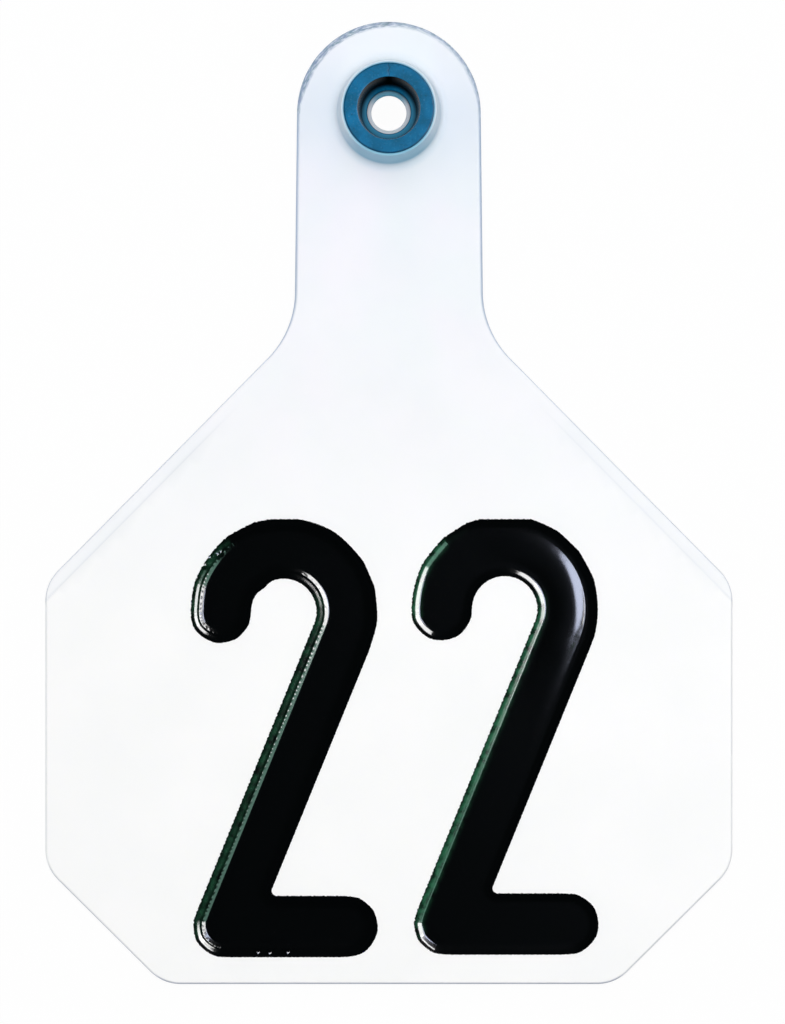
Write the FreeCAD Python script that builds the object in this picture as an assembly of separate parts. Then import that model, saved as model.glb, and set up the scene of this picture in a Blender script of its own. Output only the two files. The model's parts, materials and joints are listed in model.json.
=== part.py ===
import FreeCAD, Part
import math
import os

# Front panel of a two-piece livestock ear tag, in millimetres.
# A flexible flap hangs from a narrower neck. The neck ends in a round boss with a hard
# collar moulded in. The stud of the other half comes in from the back, through the panel's
# small hole, and its arrow head snaps over the collar's lip into the pocket in front.
# Two large numerals are stamped into the front face and filled with pigment.
#
# Frame: origin on the bore's axis at the back face. +X is to the right, +Y points up the
# tag towards the neck's round end, +Z comes out of the printed front face.
# The tag lies on its back face, which is flat.

# Flap and neck outline
END_RADIUS = 10.15            # round end of the neck
END_CENTRE_Y = -0.13          # centre of that round end, just below the bore
NECK_ROOT_Y = -24.2           # where the neck meets the shoulders
NECK_ROOT_HALF = 10.43        # half width there: the neck flares a little on its way down
NECK_ROOT_RADIUS = 10.5       # inner round between neck and shoulder
FLAP_HALF = 38.0              # half of the flap's full width
SHOULDER_Y = -52.06           # the 45 degree shoulder meets the vertical side
SIDE_END_Y = -83.47           # the vertical side meets the lower chamfer
BOTTOM_Y = -96.38             # bottom edge
BOTTOM_HALF = 25.0            # half of the bottom edge
CORNER_RADIUS = 4.8           # outer corners of the flap

# Thickness: a stout neck that tapers to a thin, limp flap
NECK_THICK = 1.95
FLAP_THICK = 1.35
TAPER_TOP_Y = -20.7
TAPER_END_Y = -42.8
FRONT_BEVEL = 0.3             # bevelled rim on the front, sharp mould line on the back

# Boss round the collar
BOSS_TOP_Z = 6.0
BOSS_BASE_RADIUS = 5.65
BOSS_TOP_RADIUS = 5.25
BOSS_FOOT_FILLET = 0.6

# Stud hole through the web that the panel leaves behind the collar
WEB_THICK = 0.8
WEB_BORE_RADIUS = 1.95
LEAD_IN = 0.2                 # cone at the back mouth of the hole

# Locking collar
COLLAR_RADIUS = 5.06
COLLAR_EDGE_RADIUS = 0.2
FLANGE_RADIUS = 6.4           # anchoring flange buried in the neck
FLANGE_THICK = 0.6
LIP_RADIUS = 2.4              # the lip that the arrow head snaps over
LIP_THICK = 1.0
POCKET_RADIUS = 3.5           # pocket that the arrow head rests in
LEDGE_RISE = 0.4              # the ledge behind the head is slightly conical
MOUTH_CHAMFER = 0.25

# Numerals: one stroke of even width, run along a centreline, with round ends
NUMERAL_X = -11.65            # centre of the left numeral's bowl
NUMERAL_Y = -55.125
NUMERAL_PITCH = 24.42         # the right numeral stands this far along
NUMERAL_STEP = 0.28           # and this much higher, as hand-set stamps do
BOWL_RADIUS = 6.99            # centreline of the bowl
HOOK_ANGLE = 181.2            # where the bowl's open end stops, from +X
BOWL_END_ANGLE = -22.17       # where the bowl runs straight into the diagonal
HEEL_X = -6.66                # lower left corner of the centreline, from the bowl's centre
TOE_X = 7.02                  # right end of the base stroke
BASE_Y = -34.86               # base stroke below the bowl's centre
STROKE_HALF = 3.43
HEEL_FILLET = 0.5             # inner corner between the diagonal and the base stroke
CROWN_Y = -44.9               # both bowls end in a small flat at this height
STAMP_DEPTH = 0.5             # depth of the recess
INK_THICK = 0.15              # pigment on the recess's floor and walls

OVERCUT = 1.0                 # how far a cutting body runs past the part
Z_AXIS = FreeCAD.Vector(0, 0, 1)


def point(x, y, z=0.0):
    return FreeCAD.Vector(x, y, z)


def rounded_chain(corners):
    """Straight runs from the first corner to the last, with a tangent arc of each inner
    corner's own radius. A corner is (x, y, radius)."""
    edges = []
    start = point(*corners[0][:2])
    for before, corner, after in zip(corners, corners[1:], corners[2:]):
        vertex = point(*corner[:2])
        back = (point(*before[:2]) - vertex).normalize()
        ahead = (point(*after[:2]) - vertex).normalize()
        half_angle = back.getAngle(ahead) / 2.0
        reach = corner[2] / math.tan(half_angle)
        bisector = (back + ahead).normalize()
        centre = vertex + bisector * (corner[2] / math.sin(half_angle))
        arc_start = vertex + back * reach
        arc_end = vertex + ahead * reach
        edges.append(Part.makeLine(start, arc_start))
        edges.append(Part.Arc(arc_start, centre - bisector * corner[2], arc_end).toShape())
        start = arc_end
    edges.append(Part.makeLine(start, point(*corners[-1][:2])))
    return edges


def tag_outline():
    """The tag's outline: a round neck end, a flared neck, 45 degree shoulders, straight
    sides and a chamfered bottom, the same on both sides of the Y axis."""
    drop = NECK_ROOT_Y - END_CENTRE_Y
    to_root = math.atan2(drop, NECK_ROOT_HALF)
    touch = to_root + math.acos(END_RADIUS / math.hypot(drop, NECK_ROOT_HALF))
    touch_x = END_RADIUS * math.cos(touch)
    touch_y = END_CENTRE_Y + END_RADIUS * math.sin(touch)
    right = [
        (touch_x, touch_y, 0.0),
        (NECK_ROOT_HALF, NECK_ROOT_Y, NECK_ROOT_RADIUS),
        (FLAP_HALF, SHOULDER_Y, CORNER_RADIUS),
        (FLAP_HALF, SIDE_END_Y, CORNER_RADIUS),
        (BOTTOM_HALF, BOTTOM_Y, CORNER_RADIUS),
    ]
    left = [(-x, y, radius) for x, y, radius in reversed(right)]
    edges = rounded_chain(right + left)
    crown = point(0.0, END_CENTRE_Y + END_RADIUS)
    edges.append(Part.Arc(point(-touch_x, touch_y), crown, point(touch_x, touch_y)).toShape())
    return Part.Wire(edges)


def taper_cut():
    """What is taken off the front so that the neck's thickness falls to the flap's."""
    left = -FLAP_HALF - OVERCUT
    below = BOTTOM_Y - OVERCUT
    above = NECK_THICK + OVERCUT
    side = Part.makePolygon([
        point(left, TAPER_TOP_Y, NECK_THICK),
        point(left, TAPER_END_Y, FLAP_THICK),
        point(left, below, FLAP_THICK),
        point(left, below, above),
        point(left, TAPER_TOP_Y, above),
        point(left, TAPER_TOP_Y, NECK_THICK),
    ])
    return Part.Face(side).extrude(point(-2.0 * left, 0.0))


def flap():
    """The sheet: outline at neck thickness, tapered, with its front rim bevelled."""
    sheet = Part.Face(tag_outline()).extrude(point(0.0, 0.0, NECK_THICK))
    sheet = sheet.cut(taper_cut())
    rim = [edge for edge in sheet.Edges if on_front_rim(edge)]
    return sheet.makeChamfer(FRONT_BEVEL, rim)


def on_front_rim(edge):
    """True for an edge of the front outline: not on the back, upright or across the flap."""
    box = edge.BoundBox
    crosses = box.YLength < 1e-6 and abs(box.XMin + box.XMax) < 1e-6
    on_front = box.ZMin > FLAP_THICK - 1e-6
    is_bottom = abs(box.YMin - BOTTOM_Y) < 1e-6
    return on_front and (is_bottom or not crosses)


def revolved(profile):
    """Solid of revolution about the bore's axis from a closed (radius, height) profile."""
    loop = [point(radius, 0.0, height) for radius, height in profile]
    loop.append(loop[0])
    return Part.Face(Part.makePolygon(loop)).revolve(point(0, 0), Z_AXIS, 360)


def circles_at(solid, radius, height):
    """The solid's circular edges of one radius and height, about the bore's axis."""
    found = []
    for edge in solid.Edges:
        if isinstance(edge.Curve, Part.Circle) and abs(edge.Curve.Radius - radius) < 1e-6:
            if abs(edge.Curve.Center.z - height) < 1e-6:
                found.append(edge)
    return found


def boss():
    """Conical boss that stands on the neck."""
    return revolved([
        (0.0, 0.0),
        (BOSS_BASE_RADIUS, 0.0),
        (BOSS_BASE_RADIUS, NECK_THICK),
        (BOSS_TOP_RADIUS, BOSS_TOP_Z),
        (0.0, BOSS_TOP_Z),
    ])


def locking_collar():
    """Hard collar: a flange that anchors it, the lip, the conical ledge and the pocket."""
    flange_top = WEB_THICK + FLANGE_THICK
    ledge_z = WEB_THICK + LIP_THICK
    collar = revolved([
        (LIP_RADIUS, WEB_THICK),
        (FLANGE_RADIUS, WEB_THICK),
        (FLANGE_RADIUS, flange_top),
        (COLLAR_RADIUS, flange_top),
        (COLLAR_RADIUS, BOSS_TOP_Z),
        (POCKET_RADIUS + MOUTH_CHAMFER, BOSS_TOP_Z),
        (POCKET_RADIUS, BOSS_TOP_Z - MOUTH_CHAMFER),
        (POCKET_RADIUS, ledge_z + LEDGE_RISE),
        (LIP_RADIUS, ledge_z),
    ])
    return collar.makeFillet(COLLAR_EDGE_RADIUS, circles_at(collar, COLLAR_RADIUS, BOSS_TOP_Z))


def collar_seat():
    """The room that the collar takes in the panel, with the pocket inside it."""
    flange_top = WEB_THICK + FLANGE_THICK
    return revolved([
        (0.0, WEB_THICK),
        (FLANGE_RADIUS, WEB_THICK),
        (FLANGE_RADIUS, flange_top),
        (COLLAR_RADIUS, flange_top),
        (COLLAR_RADIUS, BOSS_TOP_Z),
        (0.0, BOSS_TOP_Z),
    ])


def stud_hole():
    """Hole through the web, with a lead-in cone at the back."""
    return revolved([
        (0.0, 0.0),
        (WEB_BORE_RADIUS + LEAD_IN, 0.0),
        (WEB_BORE_RADIUS, LEAD_IN),
        (WEB_BORE_RADIUS, WEB_THICK),
        (0.0, WEB_THICK),
    ])


def numeral_centreline(centre_x, centre_y):
    """A figure two: an open bowl, a straight diagonal that leaves it, and a base stroke."""
    def on_bowl(degrees):
        angle = math.radians(degrees)
        return point(centre_x + BOWL_RADIUS * math.cos(angle),
                     centre_y + BOWL_RADIUS * math.sin(angle))

    crown = 0.5 * (HOOK_ANGLE + BOWL_END_ANGLE)
    heel = point(centre_x + HEEL_X, centre_y + BASE_Y)
    toe = point(centre_x + TOE_X, centre_y + BASE_Y)
    bowl = Part.Arc(on_bowl(HOOK_ANGLE), on_bowl(crown), on_bowl(BOWL_END_ANGLE)).toShape()
    diagonal = Part.makeLine(on_bowl(BOWL_END_ANGLE), heel)
    base = Part.makeLine(heel, toe)
    return Part.Wire([bowl, diagonal, base])


def is_heel(prism, edge):
    """True for the upright edge where the diagonal's flat side meets the base stroke's:
    every other upright edge has a round side next to it."""
    upright = edge.BoundBox.ZLength > 0.5 * prism.BoundBox.ZLength
    sides = prism.ancestorsOfType(edge, Part.Face)
    return upright and all(isinstance(side.Surface, Part.Plane) for side in sides)


def numeral_prism(index, margin, floor_z):
    """One numeral, set in by a margin all round, from floor_z up to the flap's front."""
    centre_x = NUMERAL_X + index * NUMERAL_PITCH
    centre_y = NUMERAL_Y + index * NUMERAL_STEP
    outline = numeral_centreline(centre_x, centre_y).makeOffset2D(STROKE_HALF - margin)
    height = FLAP_THICK - floor_z
    prism = Part.Face(outline).extrude(point(0.0, 0.0, height))
    heel = [edge for edge in prism.Edges if is_heel(prism, edge)]
    prism = prism.makeFillet(HEEL_FILLET + margin, heel)
    prism.translate(point(0.0, 0.0, floor_z))
    reach = 2.0 * (BOWL_RADIUS + STROKE_HALF)
    corner = point(centre_x - 0.5 * reach, CROWN_Y - margin, floor_z)
    return prism.cut(Part.makeBox(reach, reach, height, corner))


def numeral_recess(index):
    """The stamped recess that one numeral's pigment fills."""
    return numeral_prism(index, 0.0, FLAP_THICK - STAMP_DEPTH)


def numeral_ink(index):
    """The pigment: a thin tray that covers the recess's floor and walls."""
    hollow = numeral_prism(index, INK_THICK, FLAP_THICK - STAMP_DEPTH + INK_THICK)
    return numeral_recess(index).cut(hollow)


def tag_panel():
    """The moulded panel: flap and boss in one, with its recesses and stud hole."""
    body = flap().fuse(boss()).removeSplitter()
    body = body.makeFillet(BOSS_FOOT_FILLET, circles_at(body, BOSS_BASE_RADIUS, NECK_THICK))
    for cut in (collar_seat(), stud_hole(), numeral_recess(0), numeral_recess(1)):
        body = body.cut(cut)
    return body


def single_solid(shape):
    """The one solid of a shape, checked."""
    assert len(shape.Solids) == 1 and shape.isValid()
    return shape.Solids[0]


NODES = {
    "tag_panel": tag_panel,
    "locking_collar": locking_collar,
    "numeral_left": lambda: numeral_ink(0),
    "numeral_right": lambda: numeral_ink(1),
}

os.makedirs("parts", exist_ok=True)
for node, make in NODES.items():
    single_solid(make()).exportStep("parts/" + node + ".step")
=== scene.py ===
import json
import bmesh
import bpy
import numpy as np
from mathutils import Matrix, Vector
from mathutils.geometry import delaunay_2d_cdt


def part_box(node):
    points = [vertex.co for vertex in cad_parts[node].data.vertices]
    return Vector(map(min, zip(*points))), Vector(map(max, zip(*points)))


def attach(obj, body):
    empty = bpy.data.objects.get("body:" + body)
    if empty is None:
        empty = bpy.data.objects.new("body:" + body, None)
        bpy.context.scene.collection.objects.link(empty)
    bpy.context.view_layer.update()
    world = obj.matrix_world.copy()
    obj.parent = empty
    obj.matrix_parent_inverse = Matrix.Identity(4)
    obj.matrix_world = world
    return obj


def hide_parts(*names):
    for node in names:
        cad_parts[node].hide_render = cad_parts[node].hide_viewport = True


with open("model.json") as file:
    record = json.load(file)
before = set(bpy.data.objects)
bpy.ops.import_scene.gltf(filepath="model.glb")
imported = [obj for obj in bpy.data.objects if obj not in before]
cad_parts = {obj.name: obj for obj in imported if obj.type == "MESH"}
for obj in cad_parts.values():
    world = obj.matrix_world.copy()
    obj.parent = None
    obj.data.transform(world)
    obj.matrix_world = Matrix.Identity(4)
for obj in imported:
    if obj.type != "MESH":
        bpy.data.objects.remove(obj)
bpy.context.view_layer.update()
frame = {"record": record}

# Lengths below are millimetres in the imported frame: the origin is on the stud hole's axis at
# the back face, +Y points up the tag and +Z comes out of its printed front. Lamps' places and
# sizes are metres.
MM = 0.001


def box_mm(node):
    """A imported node's lowest and highest corner, in millimetres."""
    low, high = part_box(node)
    return np.array(low) / MM, np.array(high) / MM


def mount_radius(name):
    """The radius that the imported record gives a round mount."""
    return next(m["dims"]["r_mm"] for m in frame["record"]["mounts"] if m["name"] == name)


PANEL_LOW, PANEL_HIGH = box_mm("tag_panel")
COLLAR_LOW, COLLAR_HIGH = box_mm("locking_collar")
NUMERALS = {side: box_mm("numeral_" + side) for side in ("left", "right")}

# Outline of neck and flap
FLAP_HALF = PANEL_HIGH[0]
BOTTOM_Y = PANEL_LOW[1]
END_RADIUS = 10.15
END_CENTRE_Y = PANEL_HIGH[1] - END_RADIUS
NECK_ROOT = (10.43, -24.2)
NECK_ROOT_RADIUS = 10.5
SHOULDER_Y = -52.06
SIDE_END_Y = -83.47
BOTTOM_HALF = 25.0
CORNER_RADIUS = 4.8
OUTLINE_STEP = 0.25

# Thickness and rim
NECK_THICK = 1.95
FLAP_THICK = NUMERALS["left"][1][2]
TAPER = (-42.8, -20.7)
RIM_BAND = 1.2
RIM_FALL = 0.45
BACK_EDGE = 0.1
# Rows of mesh over the front's outer band and over its rounded rim
BAND_ROWS = 8
ROLL_ROWS = 10
# Long low waves of the flap: their two heights, and the stretch that they grow in over
LONG_WAVE = 0.012
SHORT_WAVE = 0.01
WAVES_GROW = (-30.0, -50.0)
# A shallow strip along each shoulder, and the distances from the middle that it fades in over
STRIP_WIDTH = 1.5
STRIP_FALL = 0.03
STRIP_RAMP = 0.25
STRIP_FADE = (14.0, 24.0)

# Boss, collar and stud hole, as radii and heights. The eases are the radii of small edges.
BOSS_TOP = PANEL_HIGH[2]
BOSS_BASE_RADIUS = 5.65
BOSS_TOP_RADIUS = 5.25
BOSS_FOOT = 0.6
APRON_RADIUS = 7.9
BOSS_EASE = 0.08
COLLAR_RADIUS = 4.97
COLLAR_EASE = 0.12
FLANGE_RADIUS = COLLAR_HIGH[0]
FLANGE_TOP = 1.4
WEB_TOP = COLLAR_LOW[2]
HOLE_RADIUS = mount_radius("stud_hole")
LIP_RADIUS = mount_radius("collar_lip")
POCKET_RADIUS = mount_radius("head_pocket")
MOUTH_EASE = 0.06
MOUTH_RADIUS = POCKET_RADIUS - MOUTH_EASE
# The ledge at the pocket's bottom slopes between two heights, inwards to the lip
LEDGE_RADIUS = 3.03
LEDGE = (1.8, 2.1)
TURN_STEPS = 144

# Numerals: one stroke run along a bowl, a diagonal and a base
BOWL_RADIUS = 6.99
STROKE_HALF = 3.43
HOOK_ANGLE = 181.2
BOWL_END_ANGLE = -22.17
HEEL = (-6.66, -34.86)
TOE = (7.02, -34.86)
HEEL_FILLET = 0.5
NUMERAL_STEP = 0.1
WALL_WIDTH = 1.5
WALL_ROWS = 33
# Depth of the recess under the ink's face, the gap that keeps the ink's back off it, the
# inset over which both grow from nothing at the lip, and how many of the face's rows each
# row of the back and the recess stands for
INK_THICK = 0.13
INK_GAP = 0.01
INK_GROWS = 0.3
BACK_ROWS = 4
# Each numeral's wall: how steep its lip and its two ledges are, how much steeper the line
# between the ledges is, where the lip has eased, and where the foot begins and ends to level
# out. The right one was stamped lighter.
WALLS = {
    "left": {"lip": 0.45, "upper": 0.34, "lower": 0.28, "line": 0.35, "eased": 0.5,
             "level_from": 1.36, "level_at": 1.5},
    "right": {"lip": 0.4, "upper": 0.27, "lower": 0.25, "line": 0.0, "eased": 0.6,
              "level_from": 0.85, "level_at": 1.1},
}
# Insets where the lip is still whole, where the upper ledge gives way to the lower, and the
# middle and width of the line between them
LIP_END = 0.25
STEP_BAND = (0.8, 0.95)
STEP_LINE = (0.87, 0.07)
# Depth of the short flats cut along the die's rounds and how fast they follow each other,
# and the burr that stands out of the left hook
FLAT_DEPTH = 0.12
FLAT_RATE = 2.3
BURR = {"left": 0.4, "right": 0.0}
BURR_PLACE = np.array([-1.95, 2.3])
BURR_WIDTH = 0.75
# How far the lip strays inwards: everywhere, how much more where it faces this way, and the
# rate and start of each wave that it strays in
STRAY = 0.008
STRAY_MORE = 0.014
STRAY_FACES = np.array([0.77, -0.64])
STRAY_WAVES = ((7.9, 1.3), (12.7, 0.0), (17.3, 0.4))
# Depth, place and width of the fine notches across a wall
NOTCHES = {"left": 0.006, "right": 0.0}
NOTCH_BAND = (1.0, 0.12)
# The lighter stamping left a low crown on the right floor: each floor's share of it, its rise
# at angles round the bowl, and the power that it falls to the walls by
FLOOR_CROWN = {"left": 0.0, "right": 1.0}
CROWN_TURNS = (-80.0, -50.0, -35.0, 7.0, 32.0, 56.0, 80.0, 110.0)
CROWN_RISES = (0.0, 0.08, 0.16, 0.16, 0.13, 0.1, 0.076, 0.0)
CROWN_POWER = 2.7
# Beads of pigment, placed from the bowl's centre, and their height and width
BEADS = {"left": [(-8.6, 5.0), (-8.1, 5.85), (-7.35, 6.1), (-6.95, 6.35), (-3.0, -37.7),
                  (-1.7, -37.75), (0.3, -37.7)], "right": []}
BEAD_HEIGHT = 0.11
BEAD_WIDTH = 0.2
# Walls that face this way are painted dark green
GREEN_FACES = np.radians(-12.0)
WALL_GREEN = {"left": 0.4, "right": 1.1}

# Lamps, room and camera
LAMP_DISTANCE = 0.7
TAG_MIDDLE = np.array([0.0, -0.045, 0.0])
ROOM_BRIGHTNESS = 0.505
CAMERA_HEIGHT = 400.0
VIEW_LENGTH = 113.29
VIEW_LEVEL = 1.05
VIEW_MIDDLE = (0.398, -44.16)


# ---------------------------------------------------------------- curves

def smooth(low, high, value):
    """Rises from 0 at low to 1 at high along 3t^2 - 2t^3, and is level outside."""
    t = np.clip((value - low) / (high - low), 0.0, 1.0)
    return t * t * (3.0 - 2.0 * t)


def hump(centre, width, value):
    """A bell curve of height 1 about a centre."""
    return np.exp(-(((value - centre) / width) ** 2))


def arc(centre, radius, start, end, spacing=0.1):
    """Points on a circle between two angles in degrees, about a spacing apart."""
    count = max(3, int(abs(np.radians(end - start)) * radius / spacing))
    turn = np.radians(np.linspace(start, end, count))
    return np.column_stack([centre[0] + radius * np.cos(turn), centre[1] + radius * np.sin(turn)])


def rounded_corner(before, corner, after, radius):
    """The arc that rounds a corner: its centre is on the bisector, radius / sin(half) out."""
    corner = np.array(corner)
    back = np.array(before) - corner
    ahead = np.array(after) - corner
    back /= np.linalg.norm(back)
    ahead /= np.linalg.norm(ahead)
    half = 0.5 * np.arccos(back @ ahead)
    middle = (back + ahead) / np.linalg.norm(back + ahead)
    centre = corner + middle * radius / np.sin(half)
    reach = radius / np.tan(half)
    ends = np.array([corner + back * reach, corner + ahead * reach]) - centre
    turn = np.degrees(np.arctan2(ends[:, 1], ends[:, 0]))
    sweep = (turn[1] - turn[0] + 180.0) % 360.0 - 180.0
    return arc(centre, radius, turn[0], turn[0] + sweep)


def evenly(loop, spacing):
    """A closed loop of points resampled at even steps of its length."""
    closed = np.vstack([loop, loop[:1]])
    length = np.concatenate([[0.0], np.cumsum(np.linalg.norm(np.diff(closed, axis=0), axis=1))])
    keep = np.concatenate([[True], np.diff(length) > 1e-9])
    station = np.linspace(0.0, length[-1], int(length[-1] / spacing), endpoint=False)
    return np.column_stack([np.interp(station, length[keep], closed[keep, k]) for k in (0, 1)])


def inward(loop):
    """Unit normals of a clockwise closed loop, pointing into it, from central differences."""
    along = np.roll(loop, -1, axis=0) - np.roll(loop, 1, axis=0)
    along /= np.linalg.norm(along, axis=1)[:, None]
    return np.column_stack([along[:, 1], -along[:, 0]])


def tag_outline():
    """The tag's outline, clockwise: the neck's round end, a tangent run down each flared
    side, then rounded corners between the straight runs."""
    drop = NECK_ROOT[1] - END_CENTRE_Y
    reach = np.hypot(drop, NECK_ROOT[0])
    touch = np.degrees(np.arctan2(drop, NECK_ROOT[0]) + np.arccos(END_RADIUS / reach))
    crown = arc((0.0, END_CENTRE_Y), END_RADIUS, 180.0 - touch, touch)
    right = [
        (crown[-1], 0.0),
        (NECK_ROOT, NECK_ROOT_RADIUS),
        ((FLAP_HALF, SHOULDER_Y), CORNER_RADIUS),
        ((FLAP_HALF, SIDE_END_Y), CORNER_RADIUS),
        ((BOTTOM_HALF, BOTTOM_Y), CORNER_RADIUS),
    ]
    left = [((-place[0], place[1]), radius) for place, radius in reversed(right)]
    corners = right + left
    rounds = [
        rounded_corner(before[0], corner[0], after[0], corner[1])
        for before, corner, after in zip(corners, corners[1:], corners[2:])
    ]
    return evenly(np.vstack([crown] + rounds), OUTLINE_STEP)


def numeral_centre(side):
    """The centre of a numeral's bowl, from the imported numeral's right and lower edge."""
    low, high = NUMERALS[side]
    return np.array([high[0] - BOWL_RADIUS - STROKE_HALF, low[1] + STROKE_HALF - HEEL[1]])


def numeral_outline(side):
    """A figure two, clockwise: everything within half a stroke of its centreline, with round
    ends, a filleted heel and a flat crown."""
    centre = numeral_centre(side)
    heel = centre + HEEL
    toe = centre + TOE
    end = np.radians(BOWL_END_ANGLE)
    across = np.array([np.cos(end), np.sin(end)])
    bowl_end = centre + BOWL_RADIUS * across
    hook = centre + BOWL_RADIUS * np.array([np.cos(np.radians(HOOK_ANGLE)),
                                            np.sin(np.radians(HOOK_ANGLE))])
    # inner heel corner: the diagonal's right side runs down to the base stroke's top side
    along = (heel - bowl_end) / np.linalg.norm(heel - bowl_end)
    side_start = bowl_end + STROKE_HALF * across
    base_top = heel[1] + STROKE_HALF
    inner = side_start + along * (base_top - side_start[1]) / along[1]
    fillet = rounded_corner(side_start, inner, (toe[0], base_top), HEEL_FILLET)
    loop = np.vstack([
        arc(centre, BOWL_RADIUS + STROKE_HALF, HOOK_ANGLE, BOWL_END_ANGLE),
        fillet,
        arc(toe, STROKE_HALF, 90.0, -90.0),
        arc(heel, STROKE_HALF, -90.0, BOWL_END_ANGLE - 180.0),
        arc(centre, BOWL_RADIUS - STROKE_HALF, BOWL_END_ANGLE, HOOK_ANGLE),
        arc(hook, STROKE_HALF, HOOK_ANGLE + 180.0, HOOK_ANGLE),
    ])
    loop = evenly(loop, NUMERAL_STEP)
    loop = loop + hand_cut(loop, side)[:, None] * inward(loop)
    low, high = NUMERALS[side]
    return np.clip(loop, low[:2], high[:2])


def hand_cut(loop, side):
    """How far in the die's edge was cut: rounds are made of short flats, so that the
    depth follows |sin| of a phase that grows with the root of the curvature."""
    along = np.roll(loop, -1, axis=0) - np.roll(loop, 1, axis=0)
    heading = np.unwrap(np.arctan2(along[:, 1], along[:, 0]))
    bend = np.clip(-np.gradient(heading) / NUMERAL_STEP, 0.0, 1.0 / STROKE_HALF)
    station = np.arange(len(loop)) * NUMERAL_STEP
    start = {"left": 0.9, "right": 2.3}[side]
    phase = np.cumsum(FLAT_RATE * np.sqrt(bend)) * NUMERAL_STEP
    phase += 0.8 * np.sin(0.4 * station + start)
    curved = smooth(0.0, 1.0 / BOWL_RADIUS, bend)
    curved *= 1.0 - 0.5 * smooth(1.0 / BOWL_RADIUS, 1.0 / STROKE_HALF, bend)
    curved = np.mean([np.roll(curved, shift) for shift in range(-6, 7)], axis=0)
    flats = FLAT_DEPTH * np.abs(np.sin(phase)) * curved
    spot = numeral_centre(side) + BURR_PLACE
    burr = BURR[side] * hump(0.0, BURR_WIDTH, np.linalg.norm(loop - spot, axis=1))
    return flats - burr


def stamped_places(side, inset):
    """Places in plan of a numeral's wall, carried along its outline. The lip strays inwards
    in fine waves, most on the upper left, and the wall below it runs true."""
    loop = numeral_outline(side)
    into = inward(loop)
    station = np.arange(len(loop)) * NUMERAL_STEP
    waves = sum(1.0 + np.sin(rate * station + start) for rate, start in STRAY_WAVES)
    stray = waves * (STRAY + STRAY_MORE * smooth(0.3, 0.95, into @ STRAY_FACES))
    at_lip = smooth(0.4, 0.05, inset)
    return carried(loop, into, inset[:, None] + at_lip[:, None] * stray)


# ---------------------------------------------------------------- surfaces

def beyond_strip(x, y):
    """Distance past the line that a shallow strip along each shoulder starts from: positive
    between that line and the shoulder's edge."""
    shoulder = np.array([FLAP_HALF - NECK_ROOT[0], SHOULDER_Y - NECK_ROOT[1]])
    across, up = np.array([-shoulder[1], shoulder[0]]) / np.linalg.norm(shoulder)
    return (np.abs(x) - FLAP_HALF) * across + (y - SHOULDER_Y) * up + STRIP_WIDTH


def front_height(x, y):
    """Height of the moulded front: neck thickness falling smoothly to the flap's, long
    shallow waves where the moulding cooled unevenly, and the strip along each shoulder."""
    level = FLAP_THICK + (NECK_THICK - FLAP_THICK) * smooth(*TAPER, y)
    waves = LONG_WAVE * (np.sin(0.11 * x + 0.07 * y) - 1.0)
    waves += SHORT_WAVE * (np.sin(0.19 * x - 0.05 * y + 1.3) - 1.0)
    strip = smooth(0.0, STRIP_RAMP, beyond_strip(x, y)) * smooth(*STRIP_FADE, np.abs(x))
    return level + waves * smooth(*WAVES_GROW, y) - STRIP_FALL * strip


def beside_boss(x, y):
    """Painted shade on both sides of the boss, where the boss keeps light off the neck."""
    return hump(0.0, 6.0, y) * smooth(3.5, 6.5, np.abs(x))


def front_paint(x, y):
    """The front's paint: painted shade beside the boss, the strip along each shoulder,
    painted a shade darker, and painted shade along the step that the strip starts at."""
    beyond = beyond_strip(x, y)
    shown = smooth(*STRIP_FADE, np.abs(x)) * smooth(-30.0, -36.0, y)
    return {"beside_boss": beside_boss(x, y),
            "strip": smooth(0.0, STRIP_RAMP, beyond) * shown,
            "strip_line": hump(0.5 * STRIP_RAMP, 0.5 * STRIP_RAMP, beyond) * shown}


def carried(loop, normal, inset):
    """Places in plan of a profile carried along a loop: row i lies inset[i] inside it."""
    inset = np.broadcast_to(np.asarray(inset, float), (len(inset), len(loop)))
    return loop[None, :, :] + inset[:, :, None] * normal[None, :, :]


def raised(flat, height):
    """Places in plan given a height each."""
    return np.concatenate([flat, np.broadcast_to(height, flat.shape[:2])[:, :, None]], axis=2)


def turned(radius, height, turn):
    """A profile of radii and heights turned about the bore, as (profile, turn, 3)."""
    radius = np.broadcast_to(radius[:, None], (len(radius), len(turn)))
    height = np.broadcast_to(height[:, None], (len(height), len(turn)))
    return np.stack([radius * np.cos(turn), radius * np.sin(turn), height], axis=2)


def grid_faces(rows, columns):
    """Quads of a grid whose columns close round on themselves."""
    row, column = np.meshgrid(np.arange(rows - 1), np.arange(columns), indexing="ij")
    after = (column + 1) % columns
    corners = [row * columns + column, row * columns + after,
               (row + 1) * columns + after, (row + 1) * columns + column]
    return np.stack([corner.ravel() for corner in corners], axis=1)


def inside(places, loops):
    """True where a place is inside an odd number of loops, by counting edge crossings."""
    odd = np.zeros(len(places), bool)
    x, y = places[:, :1], places[:, 1:]
    for loop in loops:
        ahead = np.roll(loop, -1, axis=0)
        spans = (loop[None, :, 1] > y) != (ahead[None, :, 1] > y)
        rise = np.where(ahead[:, 1] == loop[:, 1], 1.0, ahead[:, 1] - loop[:, 1])
        cross = loop[:, 0] + (y - loop[None, :, 1]) * (ahead[:, 0] - loop[:, 0]) / rise
        odd ^= np.count_nonzero(spans & (x < cross), axis=1) % 2 == 1
    return odd


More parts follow.
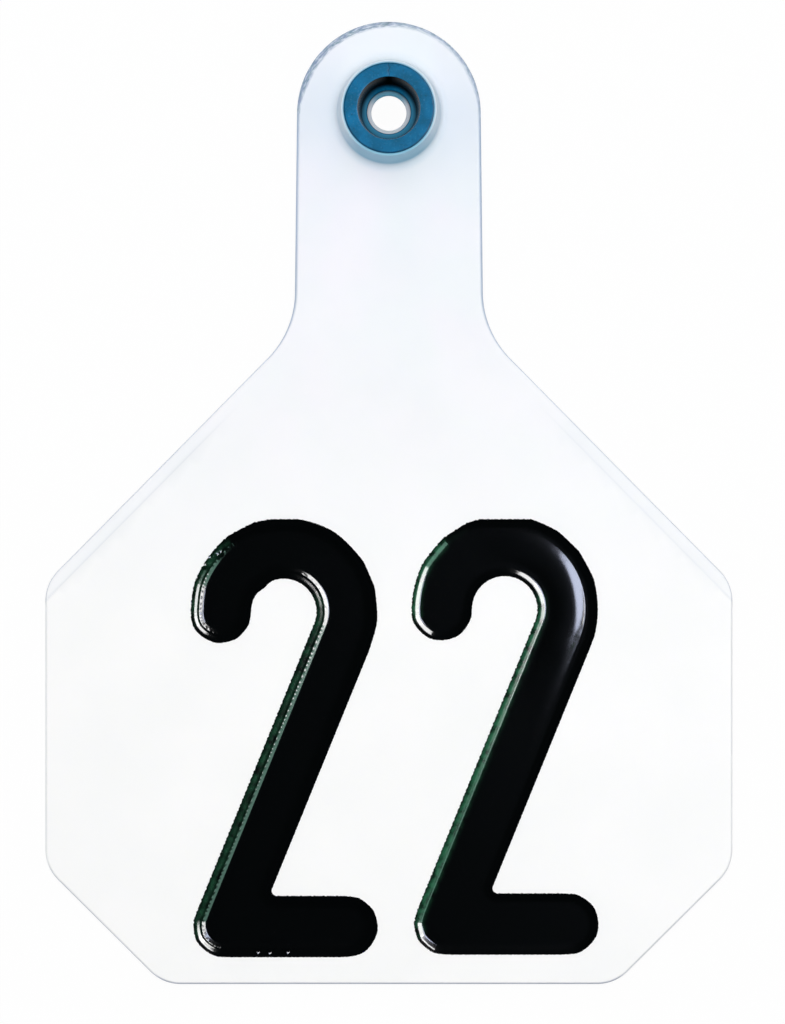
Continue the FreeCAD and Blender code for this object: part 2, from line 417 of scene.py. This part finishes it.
def filled(loops, spacing, height, creases=()):
    """A sheet between an outer loop and holes: a staggered grid of places inside them, joined
    by constrained Delaunay triangles that keep the loops and creases, each raised to its
    height."""
    low, high = loops[0].min(axis=0), loops[0].max(axis=0)
    column, row = np.meshgrid(np.arange(low[0], high[0], spacing),
                              np.arange(low[1], high[1], spacing * 0.866))
    column = column + 0.5 * spacing * (np.arange(len(row))[:, None] % 2)
    places = np.column_stack([column.ravel(), row.ravel()])
    places = places[inside(places, loops)]
    creases = [crease[inside(crease, loops)] for crease in creases]
    chains = list(loops) + creases
    fixed = np.vstack(chains)
    gap = np.hypot(places[:, :1] - fixed[:, 0], places[:, 1:] - fixed[:, 1]).min(axis=1)
    places = places[gap > 0.6 * spacing]
    start = np.cumsum([0] + [len(chain) for chain in chains[:-1]])
    ring = [np.column_stack([np.arange(len(chain)), (np.arange(len(chain)) + 1) % len(chain)])
            + at for chain, at in zip(chains, start)]
    ring = ring[:len(loops)] + [links[:-1] for links in ring[len(loops):]]
    verts = np.vstack([fixed, places])
    out = delaunay_2d_cdt(verts.tolist(), np.vstack(ring).tolist(), [], 0, 1e-6)
    flat = np.array([tuple(v) for v in out[0]])
    faces = np.array([tuple(f) for f in out[2] if len(f) == 3])
    keep = inside(flat[faces].mean(axis=1), loops)
    solid = np.column_stack([flat, height(flat[:, 0], flat[:, 1])])
    return solid, faces[keep]


def make_piece(name, patches, material, sharp_angle=40.0):
    """One closed mesh from patches in millimetres: each is its places, its faces and, where
    it is painted, a value per place for each named attribute. Shared edges are merged and
    normals turned outwards."""
    places, faces, paint, start = [], [], {}, 0
    for spots, cells, *values in patches:
        spots = spots.reshape(-1, 3)
        places.append(spots)
        faces += (cells + start).tolist()
        for label, value in (values[0] if values else {}).items():
            paint.setdefault(label, []).append((start, np.ravel(value)))
        start += len(spots)
    mesh = bpy.data.meshes.new(name)
    mesh.from_pydata((np.vstack(places) * MM).tolist(), [], faces)
    for label, parts in paint.items():
        whole = np.zeros(start, np.float32)
        for first, value in parts:
            whole[first:first + len(value)] = value
        mesh.attributes.new(label, "FLOAT", "POINT").data.foreach_set("value", whole)
    work = bmesh.new()
    work.from_mesh(mesh)
    bmesh.ops.remove_doubles(work, verts=work.verts, dist=2e-6)
    bmesh.ops.dissolve_degenerate(work, edges=work.edges, dist=1e-7)
    bmesh.ops.recalc_face_normals(work, faces=work.faces)
    work.to_mesh(mesh)
    work.free()
    mesh.polygons.foreach_set("use_smooth", np.ones(len(mesh.polygons), bool))
    mesh.set_sharp_from_angle(angle=np.radians(sharp_angle))
    piece = bpy.data.objects.new(name, mesh)
    bpy.context.scene.collection.objects.link(piece)
    mesh.materials.append(material)
    return piece


# ---------------------------------------------------------------- materials

def linear(code):
    """An sRGB hex colour as linear red, green and blue with alpha 1."""
    value = np.array([int(code[k:k + 2], 16) for k in (1, 3, 5)]) / 255.0
    low = value / 12.92
    high = ((value + 0.055) / 1.055) ** 2.4
    return (*np.where(value <= 0.04045, low, high), 1.0)


def add(tree, kind, inputs=None, **settings):
    """Adds a node. Settings are its properties; inputs are values or sockets to link."""
    node = tree.nodes.new(kind)
    for label, value in settings.items():
        setattr(node, label, value)
    for label, value in (inputs or {}).items():
        if isinstance(value, bpy.types.NodeSocket):
            tree.links.new(value, node.inputs[label])
        else:
            node.inputs[label].default_value = value
    return node


def new_material(name):
    """An empty material with its tree, output and Object coordinates."""
    material = bpy.data.materials.new(name)
    material.use_nodes = True
    tree = material.node_tree
    tree.nodes.clear()
    output = add(tree, "ShaderNodeOutputMaterial")
    coords = add(tree, "ShaderNodeTexCoord")
    return material, tree, output, coords.outputs["Object"]


def patches_of(tree, place, size_mm, low, high, detail=2.0):
    """Noise with features of about a size, spread from 0 to 1 between two of its levels."""
    noise = add(tree, "ShaderNodeTexNoise", {"Vector": place, "Scale": 1.0 / (size_mm * MM),
                                             "Detail": detail})
    spread = add(tree, "ShaderNodeMapRange", {0: noise.outputs[0], 1: low, 2: high})
    return spread.outputs[0]


def blend(tree, share, first, second, kind="MIX"):
    """The first colour mixed with the second by a share."""
    node = add(tree, "ShaderNodeMix", {"Factor": share, "A": first, "B": second},
               data_type="RGBA", blend_type=kind)
    return node.outputs[2]


def painted(tree, label):
    """A painted attribute of the mesh."""
    return add(tree, "ShaderNodeAttribute", attribute_name=label).outputs["Fac"]


def times(tree, first, second):
    """The product of two values."""
    return add(tree, "ShaderNodeMath", {0: first, 1: second}, operation="MULTIPLY").outputs[0]


def moulded_polyurethane():
    """Injection-moulded soft polyurethane, white: a satin skin with a fine mould grain."""
    material, tree, output, place = new_material("moulded white polyurethane")
    # the neck is painted a cooler, slightly darker white than the flap, in lilac and ice-blue
    # clouds
    parts = add(tree, "ShaderNodeSeparateXYZ", {0: place})
    cool = add(tree, "ShaderNodeMapRange", {0: parts.outputs["Y"], 1: -0.056, 2: -0.01}).outputs[0]
    clouds = patches_of(tree, place, 7.0, 0.35, 0.65, 1.0)
    neck = blend(tree, clouds, linear("#F4F4FD"), linear("#F0F5FB"))
    base = blend(tree, cool, linear("#FEFEFE"), neck)
    # painted shade on both sides of the boss
    base = blend(tree, painted(tree, "beside_boss"), base, linear("#E4EBF5"))
    # the strip along each shoulder is painted a shade darker
    base = blend(tree, times(tree, painted(tree, "strip"), 0.35), base, linear("#EDF1F8"))
    # painted shade along the step where each strip starts
    base = blend(tree, times(tree, painted(tree, "strip_line"), 0.3), base, linear("#BCC3CE"))
    # faint unevenness of the pigment
    base = blend(tree, patches_of(tree, place, 9.0, 0.3, 0.7), base,
                 blend(tree, 1.0, base, linear("#FBFCFC"), "MULTIPLY"))
    # painted shade along the edges: a grey line, bluer on the neck, and painted shade in streaks
    # over the band round the neck's round end
    middle = add(tree, "ShaderNodeVectorMath", {0: place, 1: (0.0, END_CENTRE_Y * MM, 0.0)},
                 operation="SUBTRACT").outputs[0]
    out = add(tree, "ShaderNodeVectorMath", {0: middle}, operation="LENGTH").outputs["Value"]
    from_middle = add(tree, "ShaderNodeSeparateXYZ", {0: middle})
    turn = add(tree, "ShaderNodeMath", {0: from_middle.outputs["Y"],
                                        1: from_middle.outputs["X"]}, operation="ARCTAN2")
    along = times(tree, turn.outputs[0], 0.2 * END_RADIUS * MM)
    round_end = add(tree, "ShaderNodeCombineXYZ", {"X": along, "Y": out})
    streaks = patches_of(tree, round_end.outputs[0], 0.15, 0.32, 0.58, 4.0)
    tints = patches_of(tree, round_end.outputs[0], 0.2, 0.4, 0.6, 3.0)
    line = blend(tree, cool, linear("#667898"), linear("#5688B8"))
    # painted shade line along the edge
    base = blend(tree, painted(tree, "edge_line"), base, line)
    # painted shade in streaks over the rounded band of the neck's end
    scuff = times(tree, painted(tree, "scuff"), streaks)
    base = blend(tree, scuff, base, blend(tree, tints, linear("#688C9E"), linear("#8596B8")))
    base = blend(tree, painted(tree, "gate"), base, linear("#5F7686"))
    # the boss's white is only a skin over the blue collar, which shows through it; painted shade
    # adds to it on the wall that faces down the tag and on the web's upper half
    base = blend(tree, painted(tree, "over_collar"), base, linear("#5BAACB"))
    grain = add(tree, "ShaderNodeTexNoise", {"Vector": place, "Scale": 2500.0, "Detail": 2.0})
    relief = add(tree, "ShaderNodeBump", {"Height": grain.outputs[0], "Strength": 0.15,
                                          "Distance": 0.00003})
    skin = add(tree, "ShaderNodeBsdfPrincipled", {
        "Base Color": base, "Roughness": 0.5, "IOR": 1.5,
        "Subsurface Weight": 0.15, "Subsurface Scale": 0.001,
        "Subsurface Radius": (1.0, 1.0, 1.2), "Normal": relief.outputs[0]})
    tree.links.new(skin.outputs[0], output.inputs[0])
    return material


def moulded_acetal():
    """Injection-moulded acetal, blue: hard, slightly waxy, with cloudy pigment."""
    material, tree, output, place = new_material("moulded blue acetal")
    clouds = patches_of(tree, place, 2.0, 0.35, 0.65, 4.0)
    base = blend(tree, clouds, linear("#005A80"), linear("#006EA0"))
    # pale flecks of filler and dark pits in the face
    base = blend(tree, patches_of(tree, place, 0.25, 0.58, 0.95), base, linear("#3A7FA0"))
    base = blend(tree, patches_of(tree, place, 0.3, 0.42, 0.1), base, linear("#0A3F5E"))
    # the dark line where the plastic met, and painted shade along the eased edge
    base = blend(tree, times(tree, painted(tree, "knit"), 0.8), base, linear("#06304C"))
    # painted light on the ledge, paler on the side that faces down the tag
    base = blend(tree, painted(tree, "ledge"), base, linear("#3F8CB2"))
    base = blend(tree, painted(tree, "deep"), base, linear("#01080C"))
    speck = add(tree, "ShaderNodeTexNoise", {"Vector": place, "Scale": 4000.0, "Detail": 2.0})
    relief = add(tree, "ShaderNodeBump", {"Height": speck.outputs[0], "Strength": 0.3,
                                          "Distance": 0.00003})
    # the pocket's wall was left matt by its core pin
    shine = add(tree, "ShaderNodeMath", {0: painted(tree, "deep"), 1: -0.5, 2: 0.5},
                operation="MULTIPLY_ADD")
    skin = add(tree, "ShaderNodeBsdfPrincipled", {
        "Base Color": base, "Roughness": 0.2, "IOR": 1.4,
        "Specular IOR Level": shine.outputs[0], "Normal": relief.outputs[0]})
    tree.links.new(skin.outputs[0], output.inputs[0])
    return material


def stamped_ink():
    """Hot-stamped pigment, black: a glossy film pressed into the recess, painted dark green on
    the walls that face one way."""
    material, tree, output, place = new_material("hot-stamped black ink")
    patch = patches_of(tree, place, 1.0, 0.3, 0.6, 3.0)
    # dark green painted on the walls that face one way
    thin = times(tree, painted(tree, "thin"), patch)
    base = blend(tree, thin, linear("#040607"), linear("#286044"))
    peel = add(tree, "ShaderNodeTexNoise", {"Vector": place, "Scale": 5000.0, "Detail": 2.0})
    relief = add(tree, "ShaderNodeBump", {"Height": peel.outputs[0], "Strength": 0.15,
                                          "Distance": 0.00001})
    skin = add(tree, "ShaderNodeBsdfPrincipled", {
        "Base Color": base, "Roughness": 0.11, "IOR": 1.7, "Normal": relief.outputs[0]})
    tree.links.new(skin.outputs[0], output.inputs[0])
    return material


# ---------------------------------------------------------------- the panel

def crown_left(x, y):
    """Rises from 0 to 1 over the top of the neck's round end, towards its left."""
    return smooth(60.0, 110.0, np.degrees(np.arctan2(y - END_CENTRE_Y, x)))


def rim_width(x, y):
    """Width of the rounded front rim: widest on the crown's left, narrow on the flap."""
    crown = 0.66 + 0.16 * crown_left(x, y)
    neck = np.where(y > 0.0, 0.4 + (crown - 0.4) * smooth(0.0, 4.0, y), 0.4)
    side = 0.3 - 0.12 * smooth(-0.5, 0.5, beyond_strip(x, y))
    return side + (neck - side) * smooth(-30.0, -18.0, y)


def edge_shade(x, y):
    """How dark the painted shade line along the edge is: strong on the neck and along the bottom,
    fair on the shoulders and chamfers, faint on the flap's sides."""
    neck = smooth(-30.0, -22.0, y)
    shoulder = smooth(-0.5, 0.5, beyond_strip(x, y))
    bottom = smooth(BOTTOM_Y + 1.2, BOTTOM_Y + 0.4, y)
    chamfer = smooth(SIDE_END_Y + 0.5, SIDE_END_Y - 1.0, y)
    flap = 0.22 + 0.25 * shoulder + 0.2 * chamfer + 0.33 * bottom
    return flap + (0.62 - flap) * neck


def edge_paint(x, y, inset, width):
    """The edge's paint, row by row inwards from the outline: the painted shade line along the
    edge, painted shade in streaks over the band round the crown, and the gate's mark with a vee at
    its left."""
    share = np.clip(inset / width, 0.0, 1.0)
    on_front = (np.arange(len(inset)) <= BAND_ROWS + ROLL_ROWS)[:, None]
    crown = smooth(-3.0, 2.0, y)
    line = edge_shade(x, y) * (1.0 - smooth(0.1, 1.0, share)) * (1.0 - 0.4 * crown)
    left = crown_left(x, y)
    band = left * smooth(1.0, 0.7, share) + (1.0 - left) * (1.0 - share)
    gate = hump(0.0, 0.35, x) * hump(0.12, 0.08, inset)
    arm = np.abs(x + 0.6)
    vee = hump(0.5 - 0.4 * arm, 0.07, inset) * smooth(0.7, 0.5, arm)
    return {"edge_line": line,
            "scuff": 0.9 * crown * band * on_front,
            "gate": smooth(0.0, 5.0, y) * np.maximum(gate, 0.5 * vee)}


def rim_patch(loop, normal):
    """The panel's edge carried round its outline: a band of the front, the rounded rim, the
    trimmed side, and the back's eased edge."""
    x, y = loop.T
    width = rim_width(x, y)
    fall = np.minimum(width, RIM_FALL)
    roll = np.radians(np.linspace(0.0, 90.0, ROLL_ROWS))[:, None]
    band = np.linspace(0.0, 1.0, BAND_ROWS, endpoint=False)[:, None]
    row = np.ones((1, len(loop)))
    inset = np.vstack([
        RIM_BAND + (width - RIM_BAND) * band,
        width * (1.0 - np.sin(roll)),
        np.zeros((3, len(loop))),
        0.3 * BACK_EDGE * row,
        BACK_EDGE * row,
        RIM_BAND * row,
    ])
    flat = carried(loop, normal, inset)
    top = front_height(flat[..., 0], flat[..., 1])
    side = front_height(x, y) - fall
    height = np.vstack([
        top[:BAND_ROWS],
        top[BAND_ROWS:BAND_ROWS + ROLL_ROWS] - fall * (1.0 - np.cos(roll)),
        0.66 * side * row,
        0.33 * side * row,
        BACK_EDGE * row,
        0.3 * BACK_EDGE * row,
        np.zeros((2, len(loop))),
    ])
    paint = {**edge_paint(x, y, inset, width), **front_paint(flat[..., 0], flat[..., 1])}
    return raised(flat, height), grid_faces(*inset.shape), paint


def boss_section():
    """The boss's section from outside in: a flat apron, a filleted foot, the drafted side,
    an eased top, the collar's seat, the web and the stud hole."""
    foot = arc((BOSS_BASE_RADIUS + BOSS_FOOT, NECK_THICK + BOSS_FOOT), BOSS_FOOT, -90.0, -180.0)
    top = arc((BOSS_TOP_RADIUS - BOSS_EASE, BOSS_TOP - BOSS_EASE), BOSS_EASE, 0.0, 90.0, 0.02)
    return np.vstack([
        np.linspace((APRON_RADIUS, NECK_THICK), foot[0], 10, endpoint=False),
        foot[::2],
        np.linspace(foot[-1], top[0], 12)[1:-1],
        top,
        [(COLLAR_RADIUS, BOSS_TOP - 0.02), (COLLAR_RADIUS, FLANGE_TOP),
         (FLANGE_RADIUS, FLANGE_TOP), (FLANGE_RADIUS, WEB_TOP),
         (HOLE_RADIUS + BOSS_EASE, WEB_TOP), (HOLE_RADIUS, WEB_TOP - BOSS_EASE),
         (HOLE_RADIUS, 0.2), (HOLE_RADIUS + 0.2, 0.0)],
    ])


def boss_patch():
    """The boss turned about the bore. The blue collar shows through the white over it, most in
    its seat; the same paint lays painted shade on the web, most on its upper half under the lip,
    and on the side that faces down the tag."""
    section = boss_section()
    turn = np.linspace(0.0, 2.0 * np.pi, TURN_STEPS, endpoint=False)
    boss = turned(section[:, 0], section[:, 1], turn)
    up = np.sin(turn)
    down = smooth(-0.2, -0.9, up)
    out = section[:, :1]
    wall = (0.3 + 0.5 * down) * smooth(BOSS_BASE_RADIUS + 0.35, BOSS_BASE_RADIUS, out)
    flange = (0.12 + 0.14 * down) * smooth(FLANGE_RADIUS + 0.5, BOSS_BASE_RADIUS + 0.2, out)
    web = 0.2 + 0.8 * smooth(0.3, 0.9, up)
    seat = (out < BOSS_TOP_RADIUS - 0.1) & (section[:, 1:] > FLANGE_TOP)
    over_collar = np.where(out < LIP_RADIUS, web, np.maximum(wall, flange))
    over_collar = np.where(seat, 1.0, over_collar)
    paint = {"over_collar": over_collar, "beside_boss": beside_boss(boss[..., 0], boss[..., 1])}
    return boss, grid_faces(*boss.shape[:2]), paint


def recess_patches(side):
    """The wall and the floor of a numeral's recess, under the pigment that fills it."""
    inset, depth = wall_profile(side)
    back = depth + INK_THICK * smooth(0.0, INK_GROWS, inset)
    flat = stamped_places(side, inset[::BACK_ROWS])
    height = ink_height(side, flat[..., 0], flat[..., 1], back[::BACK_ROWS, None])
    wall = raised(flat, height)
    floor = filled([flat[-1]], 0.7, lambda x, y: ink_height(side, x, y, back[-1]))
    return (wall, grid_faces(*wall.shape[:2])), floor


def shoulder_creases():
    """Lines along both shoulders' strips, where the front's mesh has to keep an edge: the
    strip's start, the middle of its ramp, and the ramp's end."""
    run = np.arange(STRIP_FADE[0], FLAP_HALF, 0.8)
    fall = (NECK_ROOT[1] - SHOULDER_Y) / (FLAP_HALF - NECK_ROOT[0])
    shoulder = SHOULDER_Y + (FLAP_HALF - run) * fall
    creases = []
    for past in (0.0, 0.5 * STRIP_RAMP, STRIP_RAMP):
        line = shoulder - (STRIP_WIDTH - past) * np.sqrt(2.0)
        creases += [np.column_stack([sign * run, line]) for sign in (-1.0, 1.0)]
    return creases


def make_panel(material):
    """The moulded panel as one closed skin: rim, boss with the collar's seat and the stud
    hole, back sheet, the numerals' recesses, and the front sheet between them all."""
    loop = tag_outline()
    normal = inward(loop)
    sheet_edge = loop + RIM_BAND * normal
    boss = boss_patch()
    patches = [
        rim_patch(loop, normal),
        boss,
        filled([sheet_edge, boss[0][-1, :, :2]], 2.5, lambda x, y: np.zeros_like(x)),
    ]
    edges = [sheet_edge, boss[0][0, :, :2]]
    for side in NUMERALS:
        wall, floor = recess_patches(side)
        patches += [wall, floor]
        edges.append(wall[0][0, :, :2])
    sheet, cells = filled(edges, 1.1, front_height, shoulder_creases())
    patches.append((sheet, cells, front_paint(sheet[:, 0], sheet[:, 1])))
    return make_piece("moulded_panel", patches, material)


# ---------------------------------------------------------------- the collar

def collar_section():
    """The collar's section: lip, flange, straight outside, eased edge, flat face, rounded
    mouth, drafted pocket and sloping ledge, back to the lip."""
    outer = arc((COLLAR_RADIUS - COLLAR_EASE, BOSS_TOP - COLLAR_EASE), COLLAR_EASE, 0.0, 90.0,
                0.03)
    mouth = arc((MOUTH_RADIUS + MOUTH_EASE, BOSS_TOP - MOUTH_EASE), MOUTH_EASE, 90.0, 180.0,
                0.02)
    return np.vstack([
        [(LIP_RADIUS, WEB_TOP), (FLANGE_RADIUS, WEB_TOP), (FLANGE_RADIUS, FLANGE_TOP),
         (COLLAR_RADIUS, FLANGE_TOP), (COLLAR_RADIUS, 0.5 * (FLANGE_TOP + BOSS_TOP))],
        outer,
        np.linspace(outer[-1], mouth[0], 12)[1:-1],
        mouth,
        np.linspace(mouth[-1], (LEDGE_RADIUS, LEDGE[1] + 0.1), 10)[1:],
        [(LEDGE_RADIUS - 0.06, LEDGE[1])],
        np.linspace((LEDGE_RADIUS - 0.1, LEDGE[1] - 0.03), (LIP_RADIUS + 0.1, LEDGE[0]), 6),
        [(LIP_RADIUS, LEDGE[0] - 0.1), (LIP_RADIUS, WEB_TOP)],
    ])


def pocket_paint(section, up):
    """The pocket's paint: how deep in shade its wall, ledge and lip are, and painted light that
    makes the ledge paler, more on the side that faces down the tag."""
    radius, height = section[:, :1], section[:, 1:]
    pocket = (radius <= MOUTH_RADIUS) & (height > LEDGE[0] - 0.05)
    wall = pocket & (height > LEDGE[1])
    on_ledge = pocket & ~wall
    on_wall = np.where(wall, smooth(BOSS_TOP, BOSS_TOP - 0.05, height), 0.0)
    corner = smooth(LEDGE_RADIUS - 0.5, LEDGE_RADIUS, radius)
    deep = on_wall * (0.85 + 0.15 * up)
    deep = np.where(on_ledge, corner * (0.35 + 0.6 * smooth(-0.6, 0.6, up)), deep)
    deep = np.where(radius <= LIP_RADIUS + 0.01, 0.8, deep)
    return {"deep": deep, "ledge": on_ledge * smooth(1.0, 0.2, up)}


def edge_ring_shade(section, up):
    """Painted shade along the collar's eased edge, darker where it faces down the tag."""
    eased = (section[:, :1] > COLLAR_RADIUS - 0.14) & (section[:, 1:] > BOSS_TOP - 0.2)
    return eased * (0.45 + 0.5 * smooth(0.2, -0.6, up))


def make_collar(material):
    """The blue collar: a closed ring section turned about the bore, with a fine line sunk
    across its face where the plastic met in the mould."""
    section = collar_section()
    turn = np.linspace(0.0, 2.0 * np.pi, 3 * TURN_STEPS, endpoint=False)
    up = np.sin(turn)
    ring = turned(section[:, 0], section[:, 1], turn)
    off_knit = (turn - 0.5 * np.pi) * COLLAR_RADIUS + 0.08 * np.sin(9.0 * ring[..., 1])
    knit = hump(0.0, 0.06, off_knit) * smooth(5.2, 5.9, section[:, 1:])
    ring[:, :, 2] -= 0.02 * knit
    paint = {"knit": np.maximum(knit, edge_ring_shade(section, up)), **pocket_paint(section, up)}
    return make_piece("locking_ring", [(ring, grid_faces(*ring.shape[:2]), paint)], material)


# ---------------------------------------------------------------- the numerals' ink

def wall_profile(side):
    """Even insets across a numeral's wall and its depth at each: the running sum of the
    slopes of its steep lip, two ledges, the line between them and the levelling foot."""
    wall = WALLS[side]
    inset = np.linspace(0.0, WALL_WIDTH, WALL_ROWS)
    slope = wall["lip"] + (wall["upper"] - wall["lip"]) * smooth(LIP_END, wall["eased"], inset)
    slope += (wall["lower"] - wall["upper"]) * smooth(*STEP_BAND, inset)
    slope += wall["line"] * hump(*STEP_LINE, inset)
    slope *= smooth(wall["level_at"], wall["level_from"], inset)
    depth = np.cumsum(0.5 * (slope[1:] + slope[:-1]) * np.diff(inset))
    return inset, np.concatenate([[0.0], depth])


def crown_rise(turn):
    """Rise of the floor's crown at angles round the bowl: straight lines between the stated
    rises, then a running mean over 17 degrees."""
    degree = np.arange(-180.0, 181.0)
    rise = np.interp(degree, CROWN_TURNS, CROWN_RISES)
    rise = np.mean([np.roll(rise, shift) for shift in range(-8, 9)], axis=0)
    return np.interp(turn, degree, rise)


def ink_height(side, x, y, depth):
    """Height of a numeral's pigment below the flap's face, with the low crown that its
    floor keeps round the right of the bowl, and small beads of pigment. The crown falls to
    both walls as 1 less a power of the distance from the centreline."""
    x_out, y_out = x - numeral_centre(side)[0], y - numeral_centre(side)[1]
    turn = np.degrees(np.arctan2(y_out, x_out))
    end = np.radians(BOWL_END_ANGLE)
    out = np.where(turn > BOWL_END_ANGLE, np.hypot(x_out, y_out),
                   x_out * np.cos(end) + y_out * np.sin(end))
    off_line = np.abs(out - BOWL_RADIUS) / (STROKE_HALF - WALL_WIDTH)
    across = np.clip(1.0 - off_line ** CROWN_POWER, 0.0, 1.0)
    crown = FLOOR_CROWN[side] * across * crown_rise(turn)
    beads = sum(hump(0.0, BEAD_WIDTH, np.hypot(x_out - place[0], y_out - place[1]))
                for place in BEADS[side])
    return front_height(x, y) - depth + crown + BEAD_HEIGHT * beads


def make_ink(side, material):
    """A numeral's pigment: a stepped wall carried along the outline, with fine notches
    across it, and a floor, over an underside that follows both. Walls that face one way are
    painted dark green."""
    inset, depth = wall_profile(side)
    film = (INK_THICK - INK_GAP) * smooth(0.0, INK_GROWS, inset)
    flat = stamped_places(side, inset)
    into = inward(numeral_outline(side))
    station = np.arange(len(into)) * NUMERAL_STEP
    notches = np.sin(11.0 * station + 2.0 * np.sin(1.7 * station))
    notched = NOTCHES[side] * hump(*NOTCH_BAND, inset)[:, None] * notches
    face = raised(flat, ink_height(side, flat[..., 0], flat[..., 1], depth[:, None] + notched))
    under = flat[::BACK_ROWS]
    back = raised(under, ink_height(side, under[..., 0], under[..., 1],
                                    (depth + film)[::BACK_ROWS, None]))
    # walls that face a little below +X are painted dark green
    green_facing = into @ np.array([np.cos(GREEN_FACES), np.sin(GREEN_FACES)])
    thin = hump(0.5, 0.45, inset)[:, None] * smooth(0.68, 0.98, green_facing)
    patches = [
        (face, grid_faces(*face.shape[:2]), {"thin": WALL_GREEN[side] * thin}),
        filled([flat[-1]], 0.4, lambda x, y: ink_height(side, x, y, depth[-1])),
        (back, grid_faces(*back.shape[:2])),
        filled([flat[-1]], 1.2, lambda x, y: ink_height(side, x, y, depth[-1] + film[-1])),
    ]
    return make_piece("numeral_ink_" + side, patches, material, 60.0)


PANEL_MATERIAL = moulded_polyurethane()
COLLAR_MATERIAL = moulded_acetal()
INK_MATERIAL = stamped_ink()

panel = make_panel(PANEL_MATERIAL)
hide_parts("tag_panel")
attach(panel, "root")

collar = make_collar(COLLAR_MATERIAL)
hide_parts("locking_collar")
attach(collar, "root")

for numeral_side in NUMERALS:
    ink = make_ink(numeral_side, INK_MATERIAL)
    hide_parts("numeral_" + numeral_side)
    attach(ink, "root")


# ---------------------------------------------------------------- floor, light and camera

def make_floor():
    """A table of white card under the tag, rolled matt: a faintly mottled white. It also
    glows to the eye and in reflections, which leaves the tag only a pale, soft shadow."""
    material, tree, output, place = new_material("white table")
    tone = blend(tree, patches_of(tree, place, 2.5, 0.3, 0.7), linear("#EEEFF0"),
                 linear("#F3F4F5"))
    card = add(tree, "ShaderNodeBsdfDiffuse", {"Color": tone})
    glow = add(tree, "ShaderNodeEmission", {"Color": (1.0, 1.0, 1.0, 1.0), "Strength": 1.0})
    path = add(tree, "ShaderNodeLightPath")
    seen = add(tree, "ShaderNodeMath", {0: path.outputs["Is Camera Ray"],
                                        1: path.outputs["Is Glossy Ray"]}, operation="MAXIMUM")
    shown = add(tree, "ShaderNodeMath", {0: seen.outputs[0],
                                         1: path.outputs["Is Transmission Ray"]},
                operation="MAXIMUM")
    both = add(tree, "ShaderNodeMixShader", {0: times(tree, shown.outputs[0], 0.95),
                                             1: card.outputs[0], 2: glow.outputs[0]})
    tree.links.new(both.outputs[0], output.inputs[0])
    mesh = bpy.data.meshes.new("table")
    reach = 2.0
    mesh.from_pydata([(-reach, -reach, 0.0), (reach, -reach, 0.0), (reach, reach, 0.0),
                      (-reach, reach, 0.0)], [], [(0, 1, 2, 3)])
    mesh.materials.append(material)
    table = bpy.data.objects.new("table", mesh)
    bpy.context.scene.collection.objects.link(table)


def add_softbox(name, azimuth, elevation, size, power, code="#FFFFFF", shape="RECTANGLE",
                mirrored=True, lights=True):
    """A flat lamp that faces the tag's middle. The azimuth's 0 is +X and its 90 is +Y, and
    the elevation is above the table, in degrees. Size is in metres and power in watts. A
    lamp that isn't mirrored is left out of reflections, and one without lights gives only
    its own reflection."""
    lamp = bpy.data.lights.new(name, "AREA")
    lamp.shape = shape
    lamp.size, lamp.size_y = size
    lamp.energy = power
    lamp.color = linear(code)[:3]
    holder = bpy.data.objects.new(name, lamp)
    bpy.context.scene.collection.objects.link(holder)
    a, e = np.radians(azimuth), np.radians(elevation)
    away = np.array([np.cos(a) * np.cos(e), np.sin(a) * np.cos(e), np.sin(e)])
    holder.location = TAG_MIDDLE + LAMP_DISTANCE * away
    holder.rotation_euler = Vector(-away).to_track_quat("-Z", "Y").to_euler()
    holder.visible_glossy = mirrored
    holder.visible_diffuse = lights


def make_lights():
    """Five lamps that are only mirrored: a bank of three softboxes in an arc to the right,
    seen in the ink's left walls, one high up, seen in its crowned floor, and a small green
    card. Then two soft lamps above, which only light, and a bright even room, which isn't
    mirrored either."""
    add_softbox("key_low", -11.5, 59.5, (0.22, 0.1), 0.76, "#FFFEFE", shape="ELLIPSE",
                lights=False)
    add_softbox("key_middle", 17.0, 59.5, (0.184, 0.1), 0.92, "#FFFEFE", lights=False)
    add_softbox("key_high", 45.5, 59.5, (0.22, 0.1), 0.76, "#FFFEFE", shape="ELLIPSE",
                lights=False)
    add_softbox("high", 5.2, 71.7, (0.21, 0.165), 0.95, "#DCE4FF", shape="ELLIPSE",
                lights=False)
    add_softbox("green_card", -36.0, 61.0, (0.118, 0.122), 0.12, "#B4F4DC", lights=False)
    add_softbox("fill_top", 90.0, 50.0, (0.5, 0.5), 0.75, mirrored=False)
    add_softbox("overhead", 90.0, 84.0, (0.3, 0.3), 2.1, mirrored=False)
    world = bpy.data.worlds.new("room")
    bpy.context.scene.world = world
    world.use_nodes = True
    back = world.node_tree.nodes["Background"]
    back.inputs[0].default_value = linear("#FFFFFF")
    back.inputs[1].default_value = ROOM_BRIGHTNESS
    world.cycles_visibility.glossy = False


def add_camera():
    """Looks straight down on the tag's middle. The picture's long side covers the view's
    length at the level of the flap's rim."""
    lens = bpy.data.cameras.new("camera")
    lens.sensor_width = 36.0
    lens.lens = lens.sensor_width * (CAMERA_HEIGHT - VIEW_LEVEL) / VIEW_LENGTH
    lens.clip_start = 0.01
    camera = bpy.data.objects.new("camera", lens)
    camera.location = (VIEW_MIDDLE[0] * MM, VIEW_MIDDLE[1] * MM, CAMERA_HEIGHT * MM)
    bpy.context.scene.collection.objects.link(camera)
    bpy.context.scene.camera = camera


make_floor()
make_lights()
add_camera()
bpy.context.scene.view_settings.view_transform = "Standard"
